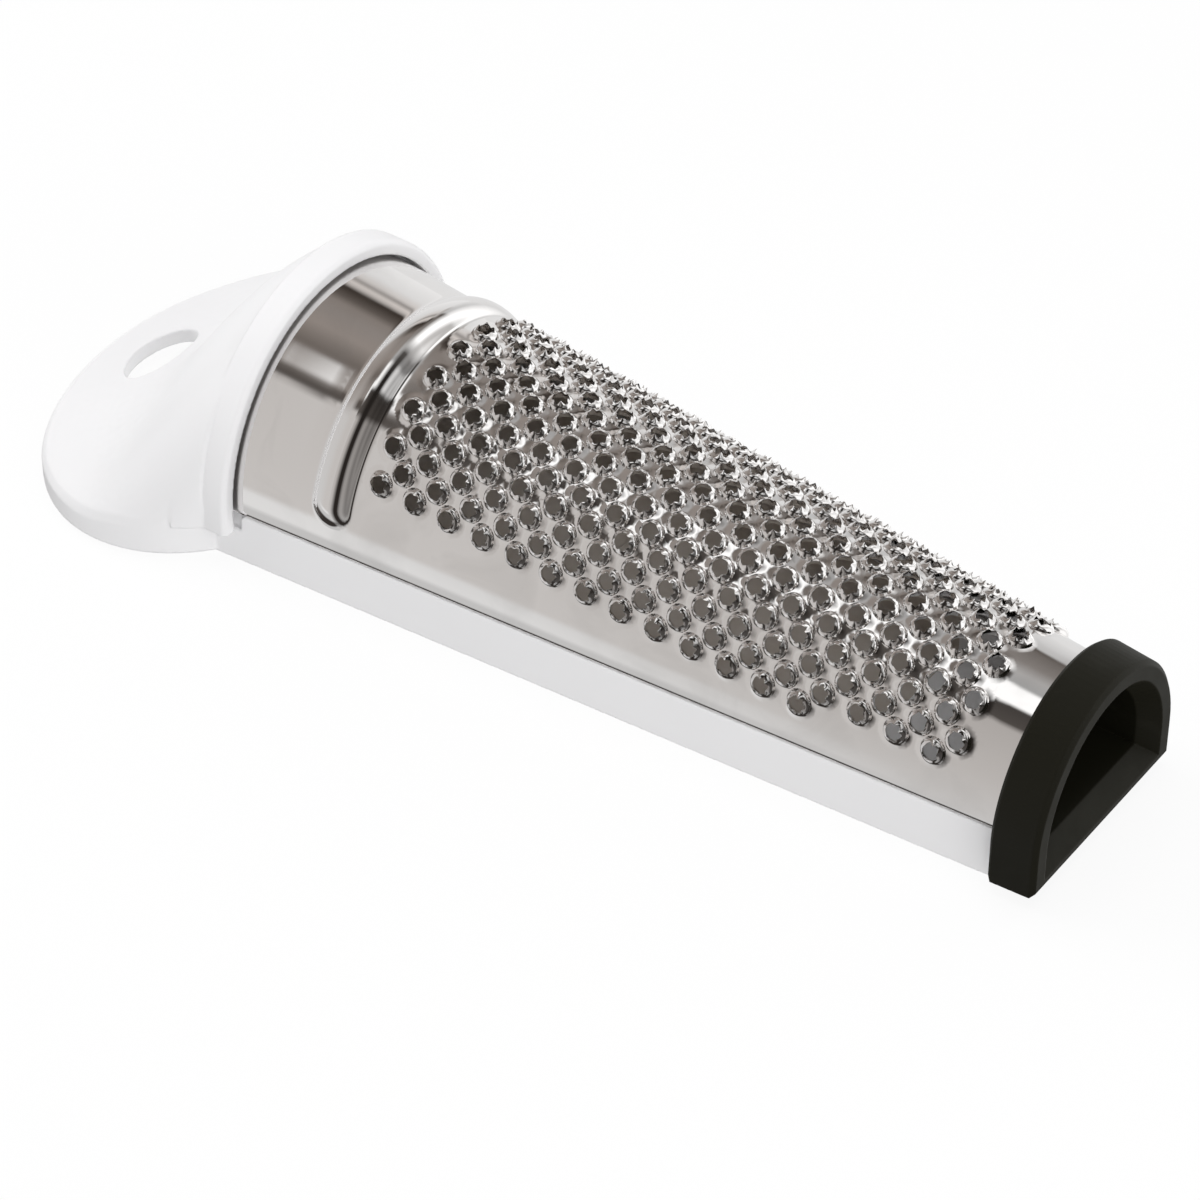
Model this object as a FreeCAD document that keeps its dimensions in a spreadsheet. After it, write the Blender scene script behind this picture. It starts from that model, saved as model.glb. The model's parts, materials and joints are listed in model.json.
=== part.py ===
import FreeCAD, Part
import math
import os

import Sketcher
from FreeCAD import Matrix, Placement, Vector

# A hand nutmeg grater: a white moulded frame (paddle handle, collar, side rails and floor), a tapered
# half-round steel sheet full of punched teeth, a black rubber cap on the narrow end, and a sliding
# door in the floor of the nutmeg store.
#
# Along the grater, distances called "reach" are measured from the mouth of the collar, where the steel
# comes out of the handle: positive towards the rubber cap, negative towards the handle's nose.
# The row frame has +X towards the cap, +Z up and z = 0 on the table. Millimetres throughout.

doc = FreeCAD.newDocument("nutmeg_grater")

# ---------------------------------------------------------------- driving dimensions
SIZES = [
    ("handle_length", 36.9, "nose of the handle to the mouth of the collar"),
    ("handle_half_length", 20.4, "half the length of the paddle's oval"),
    ("handle_half_width", 27.8, "half the width of the paddle's oval"),
    ("handle_wall", 2.0, "wall of the hollow handle"),
    ("paddle_crown", 4.2, "height of the paddle's middle at the hanging hole"),
    ("paddle_edge", 3.4, "height of the paddle's edge"),
    ("edge_bevel", 0.7, "bevel of the paddle's top edge"),
    ("rim_bevel", 0.8, "bevel of the paddle's lower rim"),
    ("hole_reach", -28.6, "centre of the hanging hole"),
    ("hole_width", 11.5, "hanging hole across the handle"),
    ("hole_length", 6.9, "hanging hole along the handle"),
    ("sheet_length", 100.4, "steel showing between collar and cap"),
    ("mouth_half_width", 20.0, "half width of the steel at the collar"),
    ("tip_half_width", 12.2, "half width of the steel at the cap"),
    ("spring_height", 7.2, "where the side rails end and the arch springs"),
    ("arch_bias", 2.83, "offset of the three arch centres"),
    ("sheet_thickness", 0.5, "steel"),
    ("collar_tuck", 2.8, "steel hidden inside the collar"),
    ("cap_tuck", 2.6, "steel and rails hidden inside the cap"),
    ("bead_reach", 13.0, "middle of the stiffening bead"),
    ("bead_width", 5.4, "width of the bead"),
    ("bead_height", 1.0, "height of the bead"),
    ("bead_end_angle", 17.0, "where the bead stops, in degrees above the rail"),
    ("tooth_pitch", 4.67, "teeth along one row"),
    ("tooth_first", 18.6, "first tooth of every second row"),
    ("tooth_last", 93.4, "no tooth beyond this reach"),
    ("tooth_margin", 5.7, "least bare steel above the rail"),
    ("tooth_rows", 8.0, "rows on each side of the middle row"),
    ("tooth_shift", 0.55, "middle row off the crown line, towards the near side"),
    ("tooth_skew", -1.45, "turn of the rows against the crown line, in degrees"),
    ("tooth_radius", 1.62, "foot of a punched crater"),
    ("tooth_tip_radius", 1.3, "ring of the petal tips"),
    ("tooth_height", 1.3, "petal tips above the steel"),
    ("tooth_notch", 0.25, "bottom of the notch between two petals"),
    ("collar_gap", 0.45, "air between the collar and the steel"),
    ("collar_wall", 1.8, "lip of the collar"),
    ("collar_depth", 3.2, "collar mouth to the bulkhead"),
    ("collar_band", 3.8, "length of the collar"),
    ("collar_bevel", 0.5, "outer edge of the collar's mouth"),
    ("shoulder_length", 6.5, "collar mouth to where the shoulders run into the paddle"),
    ("shoulder_clearance", 0.35, "loft of the shoulders outside the paddle's oval"),
    ("shoulder_sink", 0.05, "shoulders under the paddle's own skin"),
    ("spigot_length", 4.4, "ledge on the bulkhead that the steel slips over"),
    ("spigot_wall", 1.4, "thickness of that ledge"),
    ("collar_foot", 4.9, "lowest edge of the collar's mouth"),
    ("bulkhead", 2.0, "wall between the store and the hollow handle"),
    ("rail_foot", 0.0, "underside of the rails above the table"),
    ("rail_wall", 1.75, "thickness of a side rail"),
    ("rail_start", 0.5, "where the full height of the rail begins"),
    ("rail_chamfer", 0.6, "corner taken off the rail at the collar"),
    ("tongue_height", 3.3, "tongue that stands up inside the steel"),
    ("seat_gap", 0.05, "air between the tongue and the steel"),
    ("floor_height", 3.6, "underside of the store's floor"),
    ("floor_thickness", 1.2, "store's floor"),
    ("floor_end", 93.0, "end of the store's floor"),
    ("hatch_start", 3.0, "hatch, end towards the handle"),
    ("hatch_length", 35.0, "hatch in the floor"),
    ("hatch_width", 20.0, "hatch in the floor"),
    ("hatch_corner", 3.0, "corner radius of the hatch"),
    ("door_start", 0.5, "door, end towards the handle"),
    ("door_length", 41.5, "door"),
    ("door_width", 22.0, "door"),
    ("door_thickness", 1.5, "door"),
    ("door_travel", 36.0, "how far the door slides"),
    ("door_clearance", 0.3, "air round the door in its guides"),
    ("guide_wall", 1.5, "side of a door guide"),
    ("guide_lip", 1.3, "ledge under the door"),
    ("grip_ridges", 5.0, "ridges of the door's thumb grip"),
    ("grip_pitch", 2.4, "spacing of the ridges"),
    ("grip_height", 0.6, "height of the ridges"),
    ("cap_length", 5.8, "outside length of the rubber cap"),
    ("cap_foot", 1.9, "underside of the cap above the table"),
    ("cap_base", 1.0, "rubber under the frame's thin end"),
    ("cap_sill", 1.3, "rubber under the pocket, at the face"),
    ("cap_wall", 2.5, "rubber outside the steel"),
    ("cap_rim", 2.3, "rim round the cap's pocket"),
    ("cap_pocket", 11.0, "depth of the cap's pocket"),
    ("cap_skin", 0.8, "wall of the cap's plug"),
    ("cap_clearance", 0.15, "air round the cap's socket and plug"),
    ("cap_round", 0.5, "outer edges of the cap"),
    ("nose_wall", 0.9, "thin end of the rails inside the cap"),
    ("nose_floor", 1.1, "thin floor inside the cap"),
]

sheet = doc.addObject("Spreadsheet::Sheet", "Sizes")
for row, (alias, value, note) in enumerate(SIZES, start=1):
    sheet.set(f"A{row}", note)
    sheet.set(f"B{row}", str(value))
    sheet.setAlias(f"B{row}", alias)
doc.recompute()


def size(alias):
    """One driving dimension, read from the spreadsheet."""
    return float(sheet.get(alias))


# ---------------------------------------------------------------- the tapered arch
# Every cross-section of the steel is a three-centred arch: two side arcs about centres on the far side
# of the middle, and a crown arc about a higher centre. The three axes run along X, so each arc sweeps a
# true cone as the section shrinks towards the cap, and sections at any offset stay parallel.

SPRING = size("spring_height")
BIAS = size("arch_bias")
QUARTER = 45.0
TAPER = (size("mouth_half_width") - size("tip_half_width")) / size("sheet_length")
X_AXIS = Vector(1, 0, 0)
CROWN_CENTRE = Vector(0, 0, SPRING + BIAS)


def half_width(reach):
    """Half width of the steel's outside at the rails."""
    return size("mouth_half_width") - TAPER * reach


def crown_radius(half):
    """Radius of the crown arc that belongs to one half width."""
    return half + BIAS - BIAS * math.sqrt(2.0)


def crown_height(half):
    """Height of the arch above the table."""
    return SPRING + BIAS + crown_radius(half)


def flat_face(points):
    """A face through corner points that lie in one plane."""
    return Part.Face(Part.makePolygon(list(points) + [points[0]]))


def joined(first, others):
    """One clean solid out of touching or overlapping ones."""
    return first.fuse(others).removeSplitter()


def arch_sector(start, end, axis_y, axis_z, radii, turn_from, turn_by):
    """One arc of the arch as a solid of revolution, radii = (inner, outer) at start and at end."""
    (inner_start, outer_start), (inner_end, outer_end) = radii
    corners = [
        Vector(start, axis_y + inner_start, axis_z),
        Vector(end, axis_y + inner_end, axis_z),
        Vector(end, axis_y + outer_end, axis_z),
        Vector(start, axis_y + outer_start, axis_z),
    ]
    profile = flat_face(corners)
    centre = Vector(0, axis_y, axis_z)
    profile.rotate(centre, X_AXIS, turn_from)
    return profile.revolve(centre, X_AXIS, turn_by)


def arch(start, end, outer, inner=None, foot=None):
    """The arch between two reaches. outer and inner are (half width at start, at end); without inner
    the arch is solid. foot is the height down to which the straight sides go."""
    outer_start, outer_end = outer
    inner_start, inner_end = inner or (-BIAS, -BIAS)
    side = ((inner_start + BIAS, outer_start + BIAS), (inner_end + BIAS, outer_end + BIAS))
    crown_inner = (0.0, 0.0)
    if inner:
        crown_inner = (crown_radius(inner_start), crown_radius(inner_end))
    crown = (
        (crown_inner[0], crown_radius(outer_start)),
        (crown_inner[1], crown_radius(outer_end)),
    )
    pieces = [
        arch_sector(start, end, 0.0, SPRING + BIAS, crown, QUARTER, 2 * QUARTER),
        arch_sector(start, end, -BIAS, SPRING, side, 0.0, QUARTER),
        arch_sector(start, end, BIAS, SPRING, side, 180.0, -QUARTER),
    ]
    if foot is not None and inner:
        pieces += [
            leg(start, end, outer, inner, foot, 1),
            leg(start, end, outer, inner, foot, -1),
        ]
    if foot is not None and not inner:
        corners = [
            Vector(start, -outer_start, foot),
            Vector(end, -outer_end, foot),
            Vector(end, outer_end, foot),
            Vector(start, outer_start, foot),
        ]
        pieces.append(flat_face(corners).extrude(Vector(0, 0, SPRING - foot)))
    return joined(pieces[0], pieces[1:])


def leg(start, end, outer, inner, foot, hand):
    """A straight side under the arch, from foot up to the spring line. hand is 1 or -1."""
    corners = [
        Vector(start, hand * inner[0], foot),
        Vector(end, hand * inner[1], foot),
        Vector(end, hand * outer[1], foot),
        Vector(start, hand * outer[0], foot),
    ]
    return flat_face(corners).extrude(Vector(0, 0, SPRING - foot))


def steel_offset(start, end, offset):
    """Half widths at two reaches of a surface parallel to the outside of the steel."""
    return (half_width(start) + offset, half_width(end) + offset)


def box(x_from, x_to, y_half, z_from, z_to):
    """A block centred on the middle plane."""
    return Part.makeBox(x_to - x_from, 2 * y_half, z_to - z_from, Vector(x_from, -y_half, z_from))


# ---------------------------------------------------------------- grater_sheet
def point_on_steel(reach, arc):
    """Point and outward normal of the steel at an arc length from the crown line."""
    half = half_width(reach)
    radius = crown_radius(half)
    crown_arc = radius * math.pi / 4
    if abs(arc) <= crown_arc:
        angle = arc / radius
        centre = CROWN_CENTRE
    else:
        radius = half + BIAS
        angle = math.copysign(math.pi / 4 + (abs(arc) - crown_arc) / radius, arc)
        centre = Vector(0, math.copysign(BIAS, arc), SPRING)
    across = Vector(0, -math.sin(angle), math.cos(angle))
    point = Vector(reach, centre.y, centre.z) + across * radius
    normal = across + Vector(TAPER, 0, 0)
    normal.normalize()
    return point, normal


def steel_placement(reach, arc):
    """Placement whose z axis is the steel's normal and whose x axis runs along the grater."""
    point, normal = point_on_steel(reach, arc)
    along = X_AXIS - normal * X_AXIS.dot(normal)
    along.normalize()
    across = normal.cross(along)
    matrix = Matrix(
        along.x, across.x, normal.x, point.x,
        along.y, across.y, normal.y, point.y,
        along.z, across.z, normal.z, point.z,
        0, 0, 0, 1,
    )
    return Placement(matrix)


def half_arc(reach):
    """Arc length from the crown line down to the rail."""
    half = half_width(reach)
    return (crown_radius(half) + half + BIAS) * math.pi / 4


def tooth_places():
    """Reach and arc of every tooth: rows half a pitch apart, every second row shifted half a pitch."""
    pitch = size("tooth_pitch")
    skew = math.tan(math.radians(size("tooth_skew")))
    rows = int(size("tooth_rows"))
    places = []
    for row in range(-rows, rows + 1):
        reach = size("tooth_first") + (pitch / 2 if row % 2 else 0.0)
        while reach <= size("tooth_last"):
            arc = size("tooth_shift") + row * pitch / 2 + skew * (reach - size("tooth_first"))
            if half_arc(reach) - abs(arc) >= size("tooth_margin"):
                places.append((reach, arc))
            reach += pitch
    return places


PETALS = 4


def petal_ring(radius, height, turn):
    """Corners of a regular outline, turned by a share of one side."""
    step = 2 * math.pi / PETALS
    return [
        Vector(radius * math.cos(step * (i + turn)), radius * math.sin(step * (i + turn)), height)
        for i in range(PETALS)
    ]


def petal_frustum(low_radius, low, high_radius, high, turn):
    """A flat-sided frustum, the blank of a crater or of the punch that opens it."""
    bottom = petal_ring(low_radius, low, turn)
    top = petal_ring(high_radius, high, turn)
    faces = [flat_face(bottom), flat_face(top)]
    for i in range(PETALS):
        j = (i + 1) % PETALS
        faces.append(flat_face([bottom[i], bottom[j], top[j], top[i]]))
    solid = Part.Solid(Part.Shell(faces))
    if solid.Volume < 0:
        solid.reverse()
    return solid


def tooth_tools():
    """The raised crater and the punch. The punch is turned by half a side, so its corners break
    through the crater's flats and leave one pointed petal at each corner of the crater."""
    foot = size("tooth_radius")
    tip = size("tooth_tip_radius")
    height = size("tooth_height")
    notch = size("tooth_notch")
    flat_share = math.cos(math.pi / PETALS)
    spare = 0.15
    sunk = size("sheet_thickness") / 2

    def crater_radius(level):
        return foot + (tip - foot) * level / height

    notch_apothem = crater_radius(notch) * flat_share ** 2
    opening = (tip - notch_apothem) / (height - notch)

    def punch_radius(level):
        return (notch_apothem + opening * (level - notch)) / flat_share

    top = height + spare
    low = -2 * size("sheet_thickness")
    crater = petal_frustum(crater_radius(-sunk), -sunk, crater_radius(top), top, 0.0)
    punch = petal_frustum(punch_radius(low), low, punch_radius(top + spare), top + spare, 0.5)
    return crater, punch


def bead_tube(radius, depth):
    """A round tube that follows the arch under the bead, with ball ends."""
    reach = size("bead_reach")
    half = half_width(reach)
    crown_ring = crown_radius(half) - depth
    side_ring = half + BIAS - depth
    sweep = QUARTER - size("bead_end_angle")
    pieces = []
    disc_normal = Vector(0, 0, 1)
    crown_disc = Part.Face(Part.Wire(Part.makeCircle(radius, Vector(reach, crown_ring, CROWN_CENTRE.z), disc_normal)))
    crown_disc.rotate(CROWN_CENTRE, X_AXIS, QUARTER)
    pieces.append(crown_disc.revolve(CROWN_CENTRE, X_AXIS, 2 * QUARTER))
    for hand in (1, -1):
        centre = Vector(0, -hand * BIAS, SPRING)
        start = Vector(reach, centre.y + hand * side_ring, SPRING)
        disc = Part.Face(Part.Wire(Part.makeCircle(radius, start, disc_normal)))
        disc.rotate(centre, X_AXIS, hand * size("bead_end_angle"))
        pieces.append(disc.revolve(centre, X_AXIS, hand * sweep))
        ball = Part.makeSphere(radius, start)
        ball.rotate(centre, X_AXIS, hand * size("bead_end_angle"))
        pieces.append(ball)
    return joined(pieces[0], pieces[1:])


def make_grater_sheet():
    start = -size("collar_tuck")
    end = size("sheet_length") + size("cap_tuck")
    thickness = size("sheet_thickness")
    outside = steel_offset(start, end, 0.0)
    inside = steel_offset(start, end, -thickness)
    steel = arch(start, end, outside, inside)

    half = size("bead_width") / 2
    height = size("bead_height")
    tube = (half ** 2 + height ** 2) / (2 * height)
    depth = tube - height
    hollow = arch(start - 1, end + 1, steel_offset(start - 1, end + 1, -thickness), foot=0.0)
    bead = bead_tube(tube, depth).cut(hollow)
    groove = bead_tube(tube - thickness, depth)
    steel = steel.fuse(bead).cut(groove).removeSplitter()

    crater, punch = tooth_tools()
    craters, punches = [], []
    for reach, arc in tooth_places():
        place = steel_placement(reach, arc)
        for blank, pieces in ((crater, craters), (punch, punches)):
            piece = blank.copy()
            piece.Placement = place
            pieces.append(piece)
    print("teeth:", len(craters))
    return steel.fuse(craters).cut(punches)


# ---------------------------------------------------------------- handle_frame
def nose_foot():
    """Underside of the frame's thin end, which stands on the cap's base."""
    return size("cap_foot") + size("cap_base") + size("cap_clearance")


def handle_section(reach, half, edge, crown):
    """One closed cross-section of the handle: straight edges and an arc over the top."""
    low_left = Vector(reach, -half, -1.0)
    low_right = Vector(reach, half, -1.0)
    left = Vector(reach, -half, edge)
    right = Vector(reach, half, edge)
    top = Vector(reach, 0, crown)
    edges = [
        Part.makeLine(low_left, low_right),
        Part.makeLine(low_right, right),
        Part.Arc(right, top, left).toShape(),
        Part.makeLine(left, low_left),
    ]
    return Part.Wire(edges)


def paddle_half_width(reach):
    """Half width of the paddle's oval at one reach."""
    long_half = size("handle_half_length")
    off_centre = (reach + size("handle_length") - long_half) / long_half
    return size("handle_half_width") * math.sqrt(1.0 - off_centre ** 2)


def handle_loft(inset):
    """The handle's top surface, falling from the collar to the thin paddle. Each section stands at a
    share of the handle's length. inset is the distance of an inner surface under the outer one."""
    collar_half = half_width(0.0) + size("collar_gap") + size("collar_wall")
    collar_crown = crown_height(collar_half)
    wide = size("handle_half_width") + 1.2
    crown = size("paddle_crown")
    edge = size("paddle_edge")
    fall = collar_crown - crown
    shoulder = paddle_half_width(-0.16 * size("handle_length")) + size("shoulder_clearance")
    sections = [
        (0.07, collar_half - 0.2, SPRING, collar_crown - 0.3),
        (0.16, shoulder, edge - 1.9, crown + 0.91 * fall),
        (0.30, wide - 1.4, edge - 0.9, crown + 0.715 * fall),
        (0.46, wide, edge - 0.2, crown + 0.40 * fall),
        (0.62, wide, edge, crown + 0.15 * fall),
        (0.81, wide, edge - 0.8, crown),
        (1.04, wide, edge - 1.0, edge - 0.5),
    ]
    wires = [
        handle_section(-share * size("handle_length"), half - inset, max(level - inset, -0.9), top - inset)
        for share, half, level, top in sections
    ]
    return Part.makeLoft(wires, True, False)


def oval(half_length, half_width_, reach, low, high):
    """An upright oval prism."""
    centre = Vector(reach, 0, low)
    if half_width_ >= half_length:
        long_end = centre + Vector(0, half_width_, 0)
        short_end = centre + Vector(half_length, 0, 0)
    else:
        long_end = centre + Vector(half_length, 0, 0)
        short_end = centre + Vector(0, half_width_, 0)
    outline = Part.Ellipse(long_end, short_end, centre).toShape()
    return Part.Face(Part.Wire(outline)).extrude(Vector(0, 0, high - low))


def paddle(inset):
    """The handle behind the bulkhead: the oval outline under the lofted top."""
    centre = size("handle_half_length") - size("handle_length")
    outline = oval(
        size("handle_half_length") - inset, size("handle_half_width") - inset, centre, -0.5, 40.0
    )
    return handle_loft(inset).common(outline)


def bevelled_rims(solid):
    """The paddle with its top edge and its lower rim bevelled."""
    top, low = [], []
    for edge in solid.Edges:
        bounds = edge.BoundBox
        along_rim = bounds.XLength > 1.0 and bounds.YLength > 1.0
        if along_rim and bounds.ZMax < 0.01:
            low.append(edge)
        elif along_rim:
            top.append(edge)
    solid = solid.makeChamfer(size("edge_bevel"), top)
    low = [
        edge for edge in solid.Edges
        if edge.BoundBox.ZMax < 0.01 and edge.BoundBox.XLength > 1.0
    ]
    return solid.makeChamfer(size("rim_bevel"), low)


def make_paddle():
    """The hollow handle, open underneath. Its front face is the bulkhead."""
    front = -size("collar_depth")
    outside = bevelled_rims(paddle(0.0).common(box(-60, front, 60, 0, 60)))
    shoulder_start = -size("shoulder_length")
    shoulder = handle_loft(size("shoulder_sink")).common(box(shoulder_start, front, 60, size("collar_foot"), 60))
    cavity = paddle(size("handle_wall")).common(box(-60, front - size("bulkhead"), 60, -1, 60))
    hole = oval(size("hole_length") / 2, size("hole_width") / 2, size("hole_reach"), -5, 40)
    return outside.fuse(shoulder).cut(cavity).cut(hole)


def make_collar():
    """The collar: a band round the steel, and the ledge the steel slips over."""
    gap = size("collar_gap")
    wall = size("collar_wall")
    front = -size("collar_depth")
    back = -size("collar_band")
    foot = size("collar_foot")
    outer = half_width(0) + gap + wall
    lip = arch(back, 0.0, (outer, outer), foot=foot)
    mouth_edges = [edge for edge in lip.Edges if edge.BoundBox.XMin > -0.01 and edge.BoundBox.ZMax > foot + 0.1]
    lip = lip.makeChamfer(size("collar_bevel"), mouth_edges)
    bore = arch(front, 1.0, steel_offset(front, 1.0, gap), foot=foot - 1)
    under_steel = -size("sheet_thickness") - size("seat_gap")
    end = front + size("spigot_length")
    ledge = arch(
        front - 0.5, end,
        steel_offset(front - 0.5, end, under_steel),
        steel_offset(front - 0.5, end, under_steel - size("spigot_wall")),
    )
    return lip.cut(bore), ledge


def rail_side(start, end, wall, foot, top, offset=0.0):
    """The left and right rail between two reaches."""
    outside = steel_offset(start, end, offset)
    inside = steel_offset(start, end, -wall)
    sides = []
    for hand in (1, -1):
        corners = [
            Vector(start, hand * inside[0], foot),
            Vector(end, hand * inside[1], foot),
            Vector(end, hand * outside[1], foot),
            Vector(start, hand * outside[0], foot),
        ]
        sides.append(flat_face(corners).extrude(Vector(0, 0, top - foot)))
    return sides


def make_rails():
    """Side rails with the tongue that stands up inside the steel."""
    back = -size("collar_depth") - size("bulkhead") / 2
    end = size("sheet_length") + size("cap_tuck")
    thin_from = size("floor_end")
    cap_back = size("sheet_length") - size("cap_clearance")
    foot = size("rail_foot")
    wall = size("rail_wall")
    nose_wall = size("nose_wall")
    start = size("rail_start")
    chamfer = size("rail_chamfer")
    inner_offset = -size("sheet_thickness") - size("seat_gap")
    tongue_top = SPRING + size("tongue_height")
    corner = [
        Vector(start - 1, -60, SPRING - chamfer - 1),
        Vector(start - 1, -60, SPRING + 1),
        Vector(start + chamfer + 1, -60, SPRING + 1),
    ]
    corner_cut = flat_face(corner).extrude(Vector(0, 120, 0))
    rails = [side.cut(corner_cut) for side in rail_side(start, thin_from, wall, foot, SPRING)]
    rails += rail_side(back, start, wall, foot, size("collar_foot"))
    rails += rail_side(thin_from, cap_back, nose_wall, foot, SPRING)
    rails += rail_side(cap_back, end, nose_wall, nose_foot(), SPRING)
    rails += rail_side(back, thin_from, wall, foot + 1, tongue_top, inner_offset)
    return rails


def tapered_plate(start, end, inset, low, high):
    """A level plate between the rails."""
    corners = [
        Vector(start, -half_width(start) + inset, low),
        Vector(end, -half_width(end) + inset, low),
        Vector(end, half_width(end) - inset, low),
        Vector(start, half_width(start) - inset, low),
    ]
    return flat_face(corners).extrude(Vector(0, 0, high - low))


def rounded_slab(x_from, x_to, y_half, low, high, radius):
    """A block with rounded upright corners."""
    block = box(x_from, x_to, y_half, low, high)
    upright = [edge for edge in block.Edges if abs(edge.tangentAt(edge.FirstParameter).z) > 0.9]
    return block.makeFillet(radius, upright)


def make_floor():
    """The floor of the nutmeg store, its hatch, and the guides that carry the door."""
    low = size("floor_height")
    high = low + size("floor_thickness")
    foot = size("rail_foot")
    start = -size("collar_depth") - size("bulkhead") / 2
    end = size("floor_end")
    nose_end = size("sheet_length") + size("cap_tuck")
    inset = size("nose_wall") / 2
    floor = tapered_plate(start, end, inset, low, high)
    step = tapered_plate(end - size("floor_thickness"), end, inset, nose_foot(), high)
    nose = tapered_plate(
        end - size("floor_thickness"), nose_end, inset, nose_foot(), nose_foot() + size("nose_floor")
    )
    hatch_end = size("hatch_start") + size("hatch_length")
    hatch = rounded_slab(
        size("hatch_start"), hatch_end, size("hatch_width") / 2, low - 1, high + 1, size("hatch_corner")
    )
    floor = floor.cut(hatch)

    clearance = size("door_clearance")
    channel_half = size("door_width") / 2 + clearance
    channel_low = low - size("door_thickness") - 2 * clearance
    guide_start = size("door_start") - clearance
    guide_end = size("door_start") + size("door_length") + size("door_travel") + clearance
    stop = size("guide_wall")
    into_floor = low + size("floor_thickness") / 2
    rail = box(guide_start, guide_end + stop, channel_half + size("guide_wall"), foot, into_floor)
    rail = rail.common(tapered_plate(guide_start, guide_end + stop, inset, foot, into_floor))
    channel = box(guide_start - 1, guide_end, channel_half, channel_low, low)
    mouth = box(guide_start - 1, guide_end, channel_half - size("guide_lip"), foot - 1, low)
    rail = rail.cut([channel, mouth])
    return joined(floor, [step, nose, rail])


def make_handle_frame():
    lip, ledge = make_collar()
    end = size("sheet_length")
    above_tongues = arch(-8, end, steel_offset(-8, end, -size("sheet_thickness") - size("seat_gap")), foot=-1)
    inner = joined(ledge, make_rails()[-2:]).common(above_tongues)
    return joined(make_paddle(), [lip, inner, make_floor()] + make_rails()[:-2])


# ---------------------------------------------------------------- end_cap
def make_end_cap():
    """A rubber cap: outside sleeve, face, and a blind pocket whose plug fits inside the steel."""
    back = size("sheet_length")
    face = back + size("cap_length")
    clearance = size("cap_clearance")
    skin = size("cap_skin")
    seat = back + size("cap_tuck") + clearance
    outside = arch(back, face, steel_offset(back, face, size("cap_wall")), foot=size("cap_foot"))
    end_edges = [
        edge for edge in outside.Edges
        if abs(edge.BoundBox.XMax - edge.BoundBox.XMin) < 1e-6
    ]
    outside = outside.makeChamfer(size("cap_round"), end_edges)

    socket = arch(back - 1, seat, steel_offset(back - 1, seat, clearance), foot=nose_foot() - clearance)
    plug_half = half_width(seat) - size("nose_wall") - clearance
    plug_foot = nose_foot() + size("nose_floor") + clearance
    plug_back = face - size("cap_pocket") - skin
    plug = arch(plug_back, seat + skin, (plug_half, plug_half), foot=plug_foot)
    pocket_back = face - size("cap_pocket")
    pocket_half = plug_half - skin
    pocket = arch(pocket_back, seat + skin, (pocket_half, pocket_half), foot=plug_foot + skin)
    mouth_half = half_width(face) + size("cap_wall") - size("cap_rim")
    funnel = arch(seat + skin, face, (pocket_half, mouth_half))
    sill = Part.makeLoft([
        upright_rectangle(seat + skin, pocket_half, plug_foot + skin),
        upright_rectangle(face, mouth_half, size("cap_foot") + size("cap_sill")),
    ], True, True)
    return outside.cut(socket).fuse(plug).cut([pocket, funnel, sill]).removeSplitter()


def upright_rectangle(reach, half, low):
    """Outline of the pocket under the arch at one reach."""
    corners = [
        Vector(reach, -half, low),
        Vector(reach, half, low),
        Vector(reach, half, SPRING),
        Vector(reach, -half, SPRING),
    ]
    return Part.makePolygon(corners + corners[:1])


# ---------------------------------------------------------------- store_door
def make_store_door():
    """The sliding door under the floor, a PartDesign body: plate, rounded corners, thumb ridges."""
    body = doc.addObject("PartDesign::Body", "store_door")
    body.Label = "store_door"
    origin = {item.Role: item for item in body.Origin.OriginFeatures}

    plate_sketch = body.newObject("Sketcher::SketchObject", "plate_outline")
    plate_sketch.AttachmentSupport = (origin["XY_Plane"], [""])
    plate_sketch.MapMode = "FlatFace"
    draw_rectangle(plate_sketch, "Sizes.door_length", "Sizes.door_width")
    plate = body.newObject("PartDesign::Pad", "plate")
    plate.Profile = plate_sketch
    plate.setExpression("Length", "Sizes.door_thickness")

    ridge_sketch = body.newObject("Sketcher::SketchObject", "ridge_outline")
    ridge_sketch.AttachmentSupport = (origin["XY_Plane"], [""])
    ridge_sketch.MapMode = "FlatFace"
    draw_rectangle(ridge_sketch, "Sizes.grip_pitch / 2", "Sizes.door_width * 0.6", "Sizes.grip_pitch")
    ridge = body.newObject("PartDesign::Pad", "thumb_ridge")
    ridge.Profile = ridge_sketch
    ridge.Reversed = True
    ridge.setExpression("Length", "Sizes.grip_height")
    doc.recompute()

    ridges = body.newObject("PartDesign::LinearPattern", "thumb_ridges")
    ridges.Originals = [ridge]
    ridges.Direction = (origin["X_Axis"], [""])
    ridges.setExpression("Occurrences", "Sizes.grip_ridges")
    ridges.setExpression("Length", "(Sizes.grip_ridges - 1) * Sizes.grip_pitch")
    body.Tip = ridges
    doc.recompute()
    return body


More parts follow.
